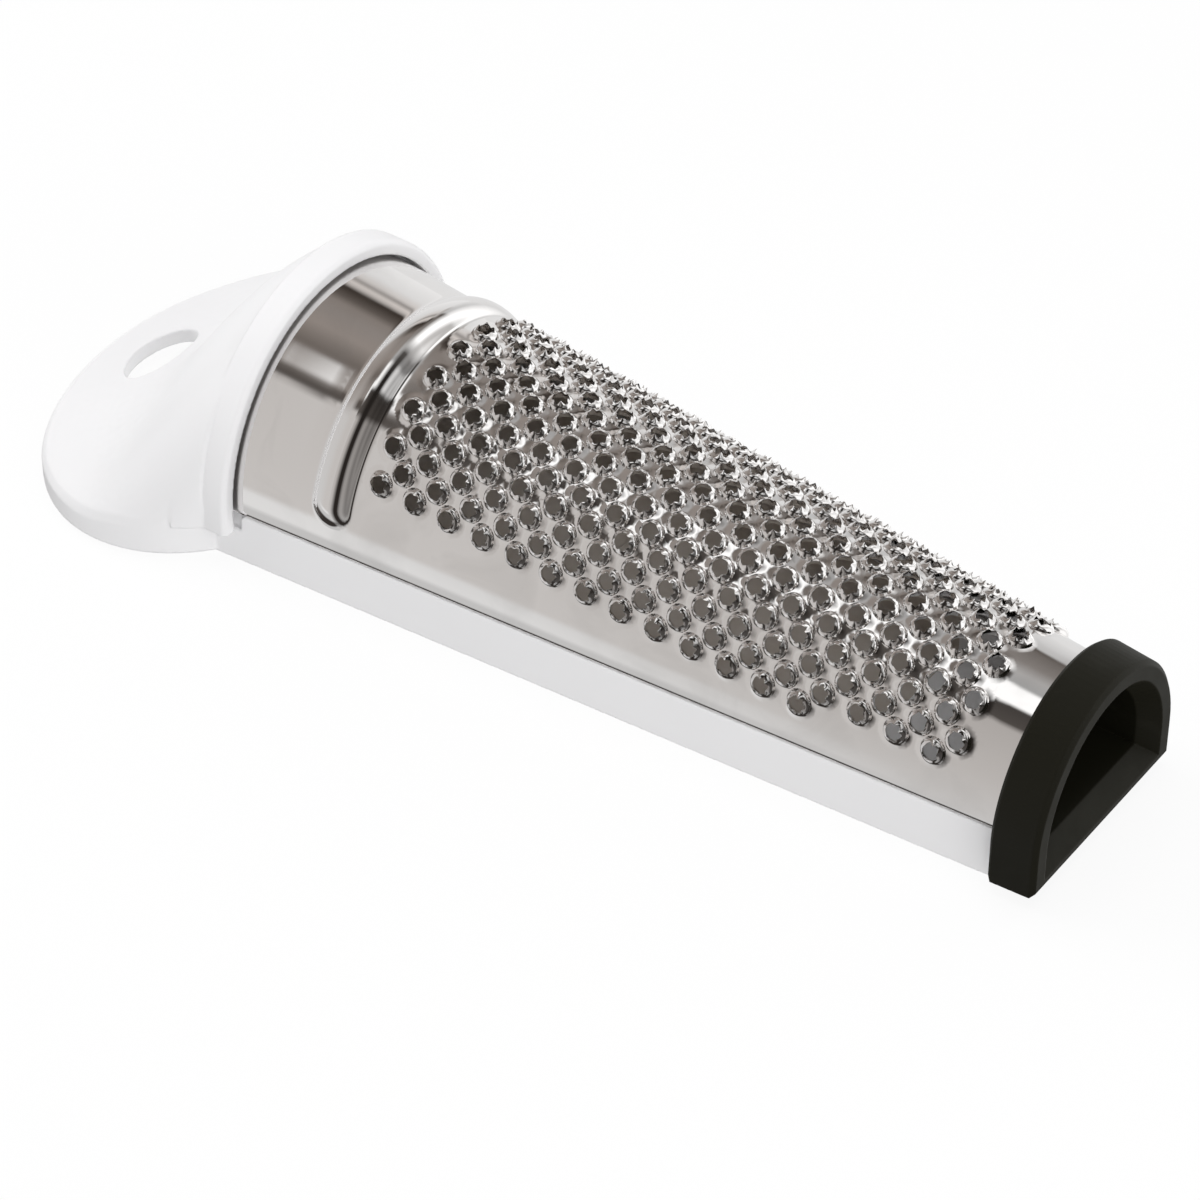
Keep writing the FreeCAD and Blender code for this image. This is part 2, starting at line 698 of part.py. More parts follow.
def draw_rectangle(sketch, length, width, start=None):
    """A rectangle centred on the sketch's x axis, with its sizes bound to the spreadsheet."""
    corners = [Vector(1, -1, 0), Vector(2, -1, 0), Vector(2, 1, 0), Vector(1, 1, 0)]
    for i in range(4):
        sketch.addGeometry(Part.LineSegment(corners[i], corners[(i + 1) % 4]), False)
    for i in range(4):
        sketch.addConstraint(Sketcher.Constraint("Coincident", i, 2, (i + 1) % 4, 1))
    sketch.addConstraint(Sketcher.Constraint("Horizontal", 0))
    sketch.addConstraint(Sketcher.Constraint("Horizontal", 2))
    sketch.addConstraint(Sketcher.Constraint("Vertical", 1))
    sketch.addConstraint(Sketcher.Constraint("Symmetric", 0, 1, 3, 1, -1))
    long_side = sketch.addConstraint(Sketcher.Constraint("DistanceX", 0, 1, 0, 2, 1.0))
    short_side = sketch.addConstraint(Sketcher.Constraint("DistanceY", 1, 1, 1, 2, 2.0))
    sketch.setExpression(f"Constraints[{long_side}]", length)
    sketch.setExpression(f"Constraints[{short_side}]", width)
    if start:
        place = sketch.addConstraint(Sketcher.Constraint("DistanceX", -1, 1, 0, 1, 1.0))
        sketch.setExpression(f"Constraints[{place}]", start)
    else:
        sketch.addConstraint(Sketcher.Constraint("PointOnObject", 0, 1, -2))


# ---------------------------------------------------------------- sub-parts
# The mouth of the collar sits off the origin, so that the origin is under the middle of the grater.
MOUTH = "(Sizes.handle_length - Sizes.sheet_length - Sizes.cap_length) / 2"


def add_feature(name, shape):
    """A sub-part whose shape is built above, placed by its expression."""
    feature = doc.addObject("Part::Feature", name)
    feature.Label = name
    feature.Shape = shape
    feature.Placement = Placement()
    feature.setExpression("Placement.Base.x", MOUTH)
    return feature


door = make_store_door()
door.setExpression("Placement.Base.x", MOUTH + " + Sizes.door_start")
door.setExpression("Placement.Base.z", "Sizes.floor_height - Sizes.door_clearance - Sizes.door_thickness")

subparts = [
    add_feature("handle_frame", make_handle_frame()),
    add_feature("grater_sheet", make_grater_sheet()),
    add_feature("end_cap", make_end_cap()),
    door,
]
doc.recompute()

for item in doc.Objects:
    if "Invalid" in item.State or "Error" in item.State:
        raise RuntimeError(f"{item.Name} failed: {item.State}")

os.makedirs("parts", exist_ok=True)
for subpart in subparts:
    shape = subpart.Shape
    if shape.isNull() or not shape.isValid() or len(shape.Solids) != 1:
        raise RuntimeError(f"{subpart.Label} is not one valid solid")
    shape.exportStep(f"parts/{subpart.Label}.step")
    bounds = shape.BoundBox
    print(
        f"{subpart.Label}: {shape.Volume:.0f} mm3,"
        f" x {bounds.XMin:.2f}..{bounds.XMax:.2f},"
        f" y {bounds.YMin:.2f}..{bounds.YMax:.2f},"
        f" z {bounds.ZMin:.2f}..{bounds.ZMax:.2f}"
    )
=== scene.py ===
# %% [markdown]
# # A hand nutmeg grater
# The grater has four pieces: a white moulded frame with a paddle handle, a tapered half-round
# sheet of punched steel, a black rubber cap on the narrow end, and a sliding door under the
# nutmeg store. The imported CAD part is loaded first. It fixes every size and place, and the pieces
# made below are laid over it, so each one starts from a box or a mesh of that part.

# %% Load the CAD part
import json
import math

import bpy
import numpy as np
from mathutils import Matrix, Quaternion, Vector
from mathutils.geometry import delaunay_2d_cdt

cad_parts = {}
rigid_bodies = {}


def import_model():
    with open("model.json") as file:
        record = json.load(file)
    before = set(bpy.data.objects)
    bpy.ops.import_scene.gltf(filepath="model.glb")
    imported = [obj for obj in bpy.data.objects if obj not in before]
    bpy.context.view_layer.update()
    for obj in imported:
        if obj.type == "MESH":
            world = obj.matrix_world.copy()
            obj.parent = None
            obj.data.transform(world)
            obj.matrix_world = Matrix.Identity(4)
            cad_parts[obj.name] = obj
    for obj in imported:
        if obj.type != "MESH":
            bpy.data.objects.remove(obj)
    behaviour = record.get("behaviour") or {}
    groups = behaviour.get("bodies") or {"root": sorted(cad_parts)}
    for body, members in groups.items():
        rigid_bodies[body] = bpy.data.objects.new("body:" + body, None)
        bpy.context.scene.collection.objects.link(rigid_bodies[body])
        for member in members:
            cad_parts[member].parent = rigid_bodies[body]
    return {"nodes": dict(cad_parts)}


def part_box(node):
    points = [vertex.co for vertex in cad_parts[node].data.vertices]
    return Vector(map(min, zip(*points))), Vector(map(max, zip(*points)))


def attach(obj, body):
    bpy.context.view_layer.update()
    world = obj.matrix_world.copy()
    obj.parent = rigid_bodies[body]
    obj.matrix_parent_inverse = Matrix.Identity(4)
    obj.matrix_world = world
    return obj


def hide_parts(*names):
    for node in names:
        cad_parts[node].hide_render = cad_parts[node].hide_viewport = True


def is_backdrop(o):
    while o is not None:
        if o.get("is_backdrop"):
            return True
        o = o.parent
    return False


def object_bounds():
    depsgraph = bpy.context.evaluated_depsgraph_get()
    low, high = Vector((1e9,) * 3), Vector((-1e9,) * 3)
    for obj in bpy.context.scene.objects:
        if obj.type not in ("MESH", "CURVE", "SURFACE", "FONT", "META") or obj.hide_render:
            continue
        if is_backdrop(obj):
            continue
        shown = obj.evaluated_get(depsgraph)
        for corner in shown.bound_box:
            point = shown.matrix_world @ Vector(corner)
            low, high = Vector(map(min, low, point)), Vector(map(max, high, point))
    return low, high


for leftover in list(bpy.data.objects):
    bpy.data.objects.remove(leftover, do_unlink=True)

MM = 0.001
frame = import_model()
cad_low, cad_high = (corner.copy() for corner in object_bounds())
print("CAD box, mm:", [round(v / MM, 1) for v in cad_low], [round(v / MM, 1) for v in cad_high])

# %% [markdown]
# ## The arch of the steel
# The steel is half a tapered tube, a little wider than high. Its cross-section is a three-centred
# arch: a side arc left and right, and a crown arc that meets them at 45 degrees. A point of the
# steel is named by its reach, the distance from the collar, and its arc, the distance round the
# arch from the crown line. Working in these two lengths is like drawing on the flat blank before
# the maker bends it.

# %% Measure the steel on the CAD part
steel_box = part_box("grater_sheet")
COLLAR_TUCK = 2.8 * MM
CAP_TUCK = 2.6 * MM
MOUTH = steel_box[0].x + COLLAR_TUCK
SHEET_LENGTH = steel_box[1].x - CAP_TUCK - MOUTH
MOUTH_HALF = 20.0 * MM
TIP_HALF = 12.2 * MM
SPRING = steel_box[0].z
BIAS = 2.83 * MM
THICKNESS = 0.5 * MM
TAPER = (MOUTH_HALF - TIP_HALF) / SHEET_LENGTH
ARC_JOINT = math.pi / 4


def half_width(reach):
    """Half width of the steel at the rails."""
    return MOUTH_HALF - TAPER * reach


def crown_radius(reach):
    """Radius of the crown arc."""
    return half_width(reach) + BIAS * (1 - math.sqrt(2.0))


def half_arc(reach):
    """Length from the crown line round to the rail."""
    return (crown_radius(reach) + half_width(reach) + BIAS) * ARC_JOINT


def on_steel(reach, arc, lift):
    """Places points on the bent steel. All three arguments are arrays of lengths."""
    crown = crown_radius(reach)
    crown_arc = crown * ARC_JOINT
    on_crown = np.abs(arc) <= crown_arc
    side = np.sign(arc)
    side_radius = half_width(reach) + BIAS
    side_angle = side * (ARC_JOINT + (np.abs(arc) - crown_arc) / side_radius)
    angle = np.where(on_crown, arc / crown, side_angle)
    radius = np.where(on_crown, crown, side_radius)
    centre_y = np.where(on_crown, 0.0, side * BIAS)
    centre_z = np.where(on_crown, SPRING + BIAS, SPRING)
    tilt = 1 / math.hypot(1, TAPER)
    x = MOUTH + reach + lift * TAPER * tilt
    y = centre_y - np.sin(angle) * (radius + lift * tilt)
    z = centre_z + np.cos(angle) * (radius + lift * tilt)
    return np.stack([x, y, z], axis=-1)


print("steel from the collar to the cap, mm:", round(SHEET_LENGTH / MM, 2))

# %% [markdown]
# ## Where the teeth stand
# The punch works on a square lattice that is turned by 45 degrees: rows half a pitch apart, and
# every second row shifted by half a pitch. The lattice is about a degree and a half out of line
# with the sheet, as on a real blank. The bare band above the rails narrows the field towards the
# cap.

# %% Lay out the lattice
PITCH = 4.67 * MM
FIRST_TOOTH = 18.6 * MM
LAST_TOOTH = 93.4 * MM
BARE_BAND = 5.7 * MM
ROWS_EACH_SIDE = 8
ROW_SHIFT = 0.40 * MM
ROW_SKEW = math.tan(math.radians(-1.45))

teeth = []
for row in range(-ROWS_EACH_SIDE, ROWS_EACH_SIDE + 1):
    reach = FIRST_TOOTH + (PITCH / 2 if row % 2 else 0.0)
    while reach <= LAST_TOOTH:
        arc = ROW_SHIFT + row * PITCH / 2 + ROW_SKEW * (reach - FIRST_TOOTH)
        if half_arc(reach) - abs(arc) >= BARE_BAND:
            teeth.append((reach, arc))
        reach += PITCH
tooth_centres = np.array(teeth)
print("teeth:", len(teeth))

# %% [markdown]
# ## The stiffening bead
# A half-round bead is pressed into the sheet near the collar, with rounded ends. Its height is a
# formula of the distance to a line across the arch, so the same function serves for the outside
# and the inside of the steel. The same function curls in the hem, the last strip of steel above
# the rails.

# %% Raise the bead and curl the lower hem
BEAD_REACH = 13.0 * MM
BEAD_HALF_WIDTH = 2.6 * MM
BEAD_HEIGHT = 0.95 * MM
BEAD_BARE = 6.6 * MM
BEAD_SOFT = 0.10 * MM
BEAD_LIMIT = 1.5
HEM = 0.8 * MM
HEM_CURL = 0.22 * MM


def pressed_height(reach, arc):
    """Height of the bead above the plain arch, less the curl of the hem at the rails."""
    bead_end = half_arc(BEAD_REACH) - BEAD_BARE
    beyond = np.maximum(np.abs(arc) - bead_end, 0.0)
    distance = np.hypot(reach - BEAD_REACH, beyond) / BEAD_HALF_WIDTH
    dome = BEAD_HEIGHT * (1 - distance ** 2)
    bead = 0.5 * (dome + np.sqrt(dome ** 2 + BEAD_SOFT ** 2))
    bead = np.where(distance > BEAD_LIMIT, 0.0, bead)
    to_edge = half_arc(reach) - np.abs(arc)
    curl = np.clip(1 - to_edge / HEM, 0, 1) ** 2
    return bead - HEM_CURL * curl


print("bead at reach, mm:", round(BEAD_REACH / MM, 1), "height, mm:", round(BEAD_HEIGHT / MM, 2))

# %% [markdown]
# ## The swell round a tooth
# The punch drags the steel with it, so the sheet is drawn up a little just outside each tooth. The
# swell is highest at the tooth's foot and dies away within half a millimetre. It keeps the bright
# steel from looking like a flat plate with rings stuck on it.

# %% Draw up the steel round a tooth
FOOT_RADIUS = 1.60 * MM
SWELL_HEIGHT = 0.07 * MM
SWELL_WIDTH = 0.26 * MM


def tooth_distance(places):
    """Distance from places on the flat blank to the centre of the nearest tooth."""
    nearest = np.full(len(places), np.inf)
    for centre in tooth_centres:
        nearest = np.minimum(nearest, np.hypot(*(places - centre).T))
    return nearest


def tooth_swell(places):
    """How far the punch has drawn up the steel outside the nearest tooth's foot."""
    beyond = np.maximum(tooth_distance(places) - FOOT_RADIUS, 0.0) / SWELL_WIDTH
    return SWELL_HEIGHT * np.exp(-beyond ** 2)


print("swell at a tooth's foot, mm:", round(tooth_swell(tooth_centres[:1])[0] / MM, 3))

# %% [markdown]
# ## One punched tooth
# The punch tears the sheet open in five to seven petals and draws them up in a ring. From the
# outside it is a small crater: a rounded foot, a steep wall, and pointed petals that lean in over
# the hole. Each tooth is a set of rings from the foot over the petals and down the inside. A
# seeded random choice of petals and of their heights keeps the teeth from looking stamped out of
# one mould, and gives the same result on every run.

# %% Describe the rings of a tooth
SEED = 7
PETAL_COUNTS = [5, 6, 6, 7]
STEPS_PER_PETAL = 4
TALL_SPREAD, TALL_LIMITS = 0.16, (-1.6, 1.2)
LEAN_SPREAD, LEAN_LIMITS = 0.05, (-1.5, 1.5)
UNEVEN_FROM = 0.8
rng = np.random.default_rng(SEED)

# Each ring: radius at a notch, radius at a tip, height at a notch, height at a tip, in mm.
TOOTH_RINGS = [
    (1.560, 1.560, 0.15, 0.15),
    (1.520, 1.520, 0.26, 0.26),
    (1.455, 1.455, 0.39, 0.39),
    (1.360, 1.360, 0.51, 0.51),
    (1.250, 1.250, 0.60, 0.61),
    (1.150, 1.140, 0.64, 0.72),
    (1.065, 1.020, 0.65, 0.86),
    (1.020, 0.870, 0.61, 1.04),
    (1.000, 0.850, 0.56, 0.99),
    (0.990, 0.910, 0.48, 0.72),
    (0.995, 0.970, 0.32, 0.38),
    (1.080, 1.080, 0.05, 0.05),
    (1.280, 1.280, -0.22, -0.22),
]


def tooth_rings(petals):
    """The foot of one tooth as reach and arc, and its rings as reach, arc and height."""
    count = STEPS_PER_PETAL * petals
    step = np.arange(count)
    towards_tip = 1 - np.abs(2 * ((step / STEPS_PER_PETAL) % 1.0) - 1)
    petal_of = (step + STEPS_PER_PETAL // 2) // STEPS_PER_PETAL % petals
    tall_draw = rng.standard_normal(petals)[petal_of].clip(*TALL_LIMITS)
    lean_draw = rng.standard_normal(petals)[petal_of].clip(*LEAN_LIMITS)
    tall = 1 + TALL_SPREAD * tall_draw * towards_tip
    lean = 1 + LEAN_SPREAD * lean_draw * towards_tip
    angle = 2 * math.pi * (step / count + rng.random())
    rings = []
    for notch_radius, tip_radius, notch_height, tip_height in TOOTH_RINGS:
        radius = notch_radius + (tip_radius - notch_radius) * towards_tip
        height = notch_height + (tip_height - notch_height) * towards_tip
        if tip_height > UNEVEN_FROM:
            radius = radius * lean
            height = height * tall
        rings.append((radius * np.cos(angle) * MM, radius * np.sin(angle) * MM, height * MM))
    foot = (FOOT_RADIUS * np.cos(angle), FOOT_RADIUS * np.sin(angle))
    return foot, rings


print("rings in a tooth:", len(TOOTH_RINGS))

# %% [markdown]
# ## Points on the blank
# The steel between the teeth has to be one smooth skin that meets every round foot, so the flat
# blank is first strewn with points. They are far apart on the bare steel, closer across the bead
# and the hem, and closest among the teeth, where the swell needs them. Points inside a foot are
# left out.

# %% Strew the blank with points
GRID = 1.05 * MM
FINE_GRID = 0.27 * MM
BEAD_GRID = 0.45 * MM
BEAD_COLUMN = 0.24 * MM
BEAD_SPAN = 3.6 * MM
BEAD_ZONE = 3.7 * MM
FIELD_MARGIN = 3 * MM
FIELD_HALF = 22 * MM
HEM_STEPS = np.array([1.0, 0.66, 0.33, 0.0])
HEM_CLEARANCE = 1.2 * HEM
SWELL_REACH = FOOT_RADIUS + GRID
FOOT_CLEARANCE = 1.2 * FINE_GRID
start, end = -COLLAR_TUCK, SHEET_LENGTH + CAP_TUCK


def blank_columns():
    """Reaches of the grid's columns, closer together across the bead."""
    plain = np.arange(start, end, GRID)
    bead = np.arange(BEAD_REACH - BEAD_SPAN, BEAD_REACH + BEAD_SPAN, BEAD_COLUMN)
    plain = plain[np.abs(plain - BEAD_REACH) > BEAD_ZONE]
    return np.sort(np.concatenate([plain, bead, [end]]))


def column_rows(reach):
    """Arcs of the points in one column, with the hem's rows at both ends."""
    limit = half_arc(reach)
    on_bead = abs(reach - BEAD_REACH) < BEAD_ZONE
    count = int(half_arc(BEAD_REACH) / BEAD_GRID) if on_bead else int(limit / GRID)
    rows = np.linspace(-1, 1, 2 * count + 1) * (limit - HEM_CLEARANCE)
    hem_rows = limit - HEM * HEM_STEPS
    return np.concatenate([-hem_rows[::-1], rows, hem_rows])


points = np.array([(reach, arc) for reach in blank_columns() for arc in column_rows(reach)])
points = points[tooth_distance(points) > SWELL_REACH]
fine = np.array([
    (reach, arc)
    for reach in np.arange(FIRST_TOOTH - FIELD_MARGIN, LAST_TOOTH + FIELD_MARGIN, FINE_GRID)
    for arc in np.arange(-FIELD_HALF, FIELD_HALF, FINE_GRID)
])
fine = fine[tooth_distance(fine) < SWELL_REACH - 0.5 * FINE_GRID]
points = np.concatenate([points, fine])
points = points[tooth_distance(points) > FOOT_RADIUS + FOOT_CLEARANCE]
print("points between the teeth:", len(points))

# %% [markdown]
# ## Filling the blank
# A constrained Delaunay triangulation joins the loose points and keeps the ring round each tooth
# as fixed edges. Triangles that fall inside a ring are the holes and are left out.

# %% Triangulate the flat blank
TRIANGULATE_ALL = 0
MERGE_DISTANCE = 1e-5
HOLE_SHARE = 0.99

edges, feet, tooth_parts = [], [], []
vertices = [Vector(p / MM) for p in points]
for centre in tooth_centres:
    foot, rings = tooth_rings(int(rng.choice(PETAL_COUNTS)))
    first = len(vertices)
    count = len(foot[0])
    vertices += [
        Vector(((centre[0] + x) / MM, (centre[1] + y) / MM)) for x, y in zip(*foot)
    ]
    edges += [(first + i, first + (i + 1) % count) for i in range(count)]
    feet.append((first, count))
    tooth_parts.append(rings)

flat, _, triangles, source, _, _ = delaunay_2d_cdt(
    vertices, edges, [], TRIANGULATE_ALL, MERGE_DISTANCE
)
flat = np.array([tuple(v) for v in flat]) * MM
new_index = np.zeros(len(vertices), dtype=int)
for i, origins in enumerate(source):
    for origin in origins:
        new_index[origin] = i
feet = [new_index[first:first + count] for first, count in feet]
triangles = np.array(triangles)
middle = flat[triangles].mean(axis=1)
triangles = triangles[tooth_distance(middle) >= FOOT_RADIUS * HOLE_SHARE]
print("blank:", len(flat), "points and", len(triangles), "triangles")

# %% [markdown]
# ## Bending the steel
# The flat blank is bent twice, once for the outside and once, half a millimetre lower, for the
# inside. Each tooth then joins the two skins: its rings lead from the foot on the outside, over
# the petals and through the hole, to the foot on the inside.

# %% Bend the blank and add the teeth
lift = pressed_height(flat[:, 0], flat[:, 1]) + tooth_swell(flat)
outer = on_steel(flat[:, 0], flat[:, 1], lift)
inner = on_steel(flat[:, 0], flat[:, 1], lift - THICKNESS)
steel_points = [outer, inner]
steel_faces = [tuple(t) for t in triangles] + [tuple(t[::-1] + len(flat)) for t in triangles]

# Which way the triangulation winds decides which skin faces out.
a, b, c = (flat[triangles[0][i]] for i in range(3))
if np.cross(b - a, c - a) < 0:
    steel_faces = [face[::-1] for face in steel_faces]

total = 2 * len(flat)
for (reach, arc), foot, rings in zip(teeth, feet, tooth_parts):
    count = len(foot)
    loops = [foot]
    for x, y, height in rings:
        base = pressed_height(reach + x, arc + y)
        steel_points.append(on_steel(reach + x, arc + y, base + height))
        loops.append(np.arange(total, total + count))
        total += count
    loops.append(foot + len(flat))
    for low, high in zip(loops[:-1], loops[1:]):
        for i in range(count):
            j = (i + 1) % count
            steel_faces.append((low[i], low[j], high[j], high[i]))
print("steel with its teeth:", len(steel_faces), "faces")

# %% [markdown]
# ## Closing the edge
# An edge of the blank that only one triangle uses is on the rim. A strip of quads joins the two
# skins there, so that the steel is a closed solid half a millimetre thick. The creases between the
# petals stay sharp, and everything flatter is shaded smooth.

# %% Close the rim and make the steel
CREASE = math.radians(52)

# A dict keeps the edges in order, so that every run gives the same mesh.
used_edges = dict.fromkeys((t[i], t[(i + 1) % 3]) for t in triangles for i in range(3))
foot_points = set(np.concatenate(feet).tolist())
for p, q in used_edges:
    on_foot = p in foot_points and q in foot_points
    if (q, p) not in used_edges and not on_foot:
        steel_faces.append((q, p, p + len(flat), q + len(flat)))


def new_piece(name, places, faces):
    """A mesh object from arrays of points and faces."""
    mesh = bpy.data.meshes.new(name)
    corners = [tuple(int(i) for i in face) for face in faces]
    mesh.from_pydata([tuple(place) for place in places], [], corners)
    mesh.validate()
    mesh.update()
    piece = bpy.data.objects.new(name, mesh)
    bpy.context.collection.objects.link(piece)
    return piece


steel = new_piece("punched_steel", np.concatenate(steel_points), steel_faces)
for polygon in steel.data.polygons:
    polygon.use_smooth = True
steel.data.set_sharp_from_angle(angle=CREASE)
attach(steel, "grater")
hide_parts("grater_sheet")
print("steel:", len(steel.data.polygons), "faces")

# %% [markdown]
# ## The mouldings
# Moulded plastic and rubber have no sharp edges. The CAD solids have, so each is copied and
# rebuilt as an even skin of small quads that keeps to its straight edges. A few passes of
# smoothing then round every edge by a fraction of a millimetre and leave the flat faces flat. The
# depth says how fine the quads are: each step halves them.

# %% Soften the moulded pieces
SKIN_SCALE = 0.95
SKIN_SHARPNESS = 1.0
SMOOTH_SHARE = 0.5


def softened(node, name, depth, passes):
    """A copy of a CAD node with even quads and slightly rounded edges."""
    piece = bpy.data.objects.new(name, frame["nodes"][node].data.copy())
    bpy.context.collection.objects.link(piece)
    remesh = piece.modifiers.new("even_skin", "REMESH")
    remesh.mode = "SHARP"
    remesh.octree_depth = depth
    remesh.scale = SKIN_SCALE
    remesh.sharpness = SKIN_SHARPNESS
    remesh.use_remove_disconnected = False
    smooth = piece.modifiers.new("rounded_edges", "SMOOTH")
    smooth.factor = SMOOTH_SHARE
    smooth.iterations = passes
    graph = bpy.context.evaluated_depsgraph_get()
    skin = bpy.data.meshes.new_from_object(piece.evaluated_get(graph))
    piece.modifiers.clear()
    piece.data = skin
    skin.materials.clear()
    for polygon in skin.polygons:
        polygon.use_smooth = True
    print(name + ":", len(skin.polygons), "faces")
    return piece


moulding = softened("handle_frame", "white_moulding", 9, 3)
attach(moulding, "grater")
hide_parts("handle_frame")

cap = softened("end_cap", "rubber_cap", 8, 3)
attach(cap, "cap")
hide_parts("end_cap")

door = softened("store_door", "sliding_door", 7, 1)
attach(door, "door")
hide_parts("store_door")

# %% [markdown]
# ## Tools for nodes
# Materials and the world are both built from nodes. These short functions add the nodes that come
# up again and again: a sum, a cloudy noise, and an empty group with named ins and outs. A value
# may be a plain number or the output of another node.

# %% Make the tools for nodes


def feed(tree, socket, value):
    """Sets a socket to a plain number, or links the output of another node to it."""
    if isinstance(value, (int, float)):
        socket.default_value = value
    else:
        tree.links.new(value, socket)


def math_node(tree, operation, *values):
    """A math node, fed by outputs or plain numbers."""
    node = tree.nodes.new("ShaderNodeMath")
    node.operation = operation
    for socket, value in zip(node.inputs, values):
        feed(tree, socket, value)
    return node.outputs[0]


def noise_node(tree, place, size, detail=2.0, distortion=0.0):
    """A cloudy noise. The larger the size value, the finer the clouds."""
    node = tree.nodes.new("ShaderNodeTexNoise")
    node.inputs["Detail"].default_value = detail
    node.inputs["Distortion"].default_value = distortion
    feed(tree, node.inputs["Vector"], place)
    feed(tree, node.inputs["Scale"], size)
    return node.outputs["Fac"]


def new_group(name, inputs, outputs):
    """An empty shader node group with named float inputs and outputs."""
    group = bpy.data.node_groups.new(name, "ShaderNodeTree")
    for title, default in inputs:
        socket = group.interface.new_socket(
            title, in_out="INPUT", socket_type="NodeSocketFloat"
        )
        socket.default_value = default
    for title in outputs:
        group.interface.new_socket(title, in_out="OUTPUT", socket_type="NodeSocketFloat")
    enter = group.nodes.new("NodeGroupInput")
    leave = group.nodes.new("NodeGroupOutput")
    place = group.nodes.new("ShaderNodeTexCoord")
    return group, enter.outputs, leave.inputs, place.outputs


print("tools for nodes:", [tool.__name__ for tool in (feed, math_node, noise_node, new_group)])

# %% [markdown]
# ## Shared surface effects
# Three effects stand apart from the materials: a fine grain, which breaks up the shine of plastic
# and rubber; handling marks, the faint cloudy smudges that fingers leave; and the store shade, a
# painted shade that makes the plastic inside the nutmeg store darker and browner. Each is a node
# group that gives out a mask, and the grain a height too, so a material chooses for itself how
# strongly they act.

# %% Build the shared node groups
GRAIN_SHARE = 0.35
MARK_EDGE = 0.25
# The store along x and z, each as its middle and the most that the painted shade lies away from it.
STORE_SHADE_X = (5 * MM, 40 * MM)
STORE_SHADE_Z = (7 * MM, 4 * MM)
STORE_SHADE_OFF_WALL = 1.2 * MM
STORE_SHADE_FACING = -0.3
# How much the clouds add to the painted shade, and how much of it lies everywhere.
STORE_SHADE_CLOUDS = (0.4, 0.7)


def fine_grain_group():
    """Two sizes of noise: a moulded grain and a broader unevenness."""
    group, given, result, place = new_group(
        "fine_grain", [("Grain Size", 900.0), ("Broad Size", 60.0)], ["Mask", "Height"]
    )
    grain = noise_node(group, place["Object"], given["Grain Size"], detail=3.0)
    broad = noise_node(group, place["Object"], given["Broad Size"])
    feed(group, result["Mask"], broad)
    feed(group, result["Height"], math_node(group, "MULTIPLY_ADD", grain, GRAIN_SHARE, broad))
    return group


def handling_marks_group():
    """Cloudy smudges: low where the surface is clean, high where it was touched."""
    group, given, result, place = new_group(
        "handling_marks", [("Size", 45.0), ("Cover", 0.5)], ["Mask"]
    )
    cloud = noise_node(group, place["Object"], given["Size"], detail=5.0, distortion=0.8)
    spread = group.nodes.new("ShaderNodeMapRange")
    feed(group, spread.inputs["Value"], cloud)
    feed(group, spread.inputs["From Min"], given["Cover"])
    feed(group, spread.inputs["From Max"], math_node(group, "ADD", given["Cover"], MARK_EDGE))
    feed(group, result["Mask"], spread.outputs["Result"])
    return group


def store_shade_group():
    """Where the store's painted shade lies: between the walls of the store, on all that doesn't
    face down.
    """
    group, given, result, place = new_group("store_shade", [("Size", 500.0)], ["Mask"])
    spot = group.nodes.new("ShaderNodeSeparateXYZ")
    facing = group.nodes.new("ShaderNodeSeparateXYZ")
    feed(group, spot.inputs["Vector"], place["Object"])
    feed(group, facing.inputs["Vector"], place["Normal"])
    x, y, z = spot.outputs
    cloud = noise_node(group, place["Object"], given["Size"])
    wall_at_middle = MOUTH_HALF + TAPER * MOUTH - STORE_SHADE_OFF_WALL
    wall = math_node(group, "MULTIPLY_ADD", x, -TAPER, wall_at_middle)
    # Painted shade: this mask marks the inside of the store, which the plastic material darkens.
    mask = math_node(group, "COMPARE", x, *STORE_SHADE_X)
    for share in (
        math_node(group, "LESS_THAN", math_node(group, "ABSOLUTE", y), wall),
        math_node(group, "COMPARE", z, *STORE_SHADE_Z),
        math_node(group, "GREATER_THAN", facing.outputs["Z"], STORE_SHADE_FACING),
        math_node(group, "MULTIPLY_ADD", cloud, *STORE_SHADE_CLOUDS),
    ):
        mask = math_node(group, "MULTIPLY", mask, share)
    feed(group, result["Mask"], mask)
    return group


fine_grain = fine_grain_group()
handling_marks = handling_marks_group()
store_shade = store_shade_group()
print("node groups:", [group.name for group in (fine_grain, handling_marks, store_shade)])

# %% [markdown]
# ## Tools for materials
# Every material starts from the same all-round shader. The tools below place a shared effect in
# it and turn the effect's mask into a range of roughness or of colour, or its height into relief.

# %% Make the tools for materials


def new_material(name):
    """A material, returned with its tree and its all-round shader."""
    material = bpy.data.materials.new(name)
    material.use_nodes = True
    tree = material.node_tree
    return material, tree, tree.nodes["Principled BSDF"]


def place_group(tree, group, **values):
    """A shared group in a material, with its own values. Returns the group's outputs."""
    node = tree.nodes.new("ShaderNodeGroup")
    node.node_tree = group
    for title, value in values.items():
        node.inputs[title.replace("_", " ")].default_value = value
    return node.outputs


def between(tree, mask, low, high):
    """Maps a 0 to 1 mask to a range of plain values."""
    node = tree.nodes.new("ShaderNodeMapRange")
    feed(tree, node.inputs["Value"], mask)
    feed(tree, node.inputs["To Min"], low)
    feed(tree, node.inputs["To Max"], high)
    return node.outputs["Result"]


def tinted(tree, mask, first, second):
    """Mixes two colours by a mask. A colour may be an output of another node."""
    node = tree.nodes.new("ShaderNodeMix")
    node.data_type = "RGBA"
    feed(tree, node.inputs["Factor"], mask)
    for side, colour in (("A", first), ("B", second)):
        if isinstance(colour, tuple):
            node.inputs[side].default_value = (*colour, 1)
        else:
            feed(tree, node.inputs[side], colour)
    return node.outputs["Result"]


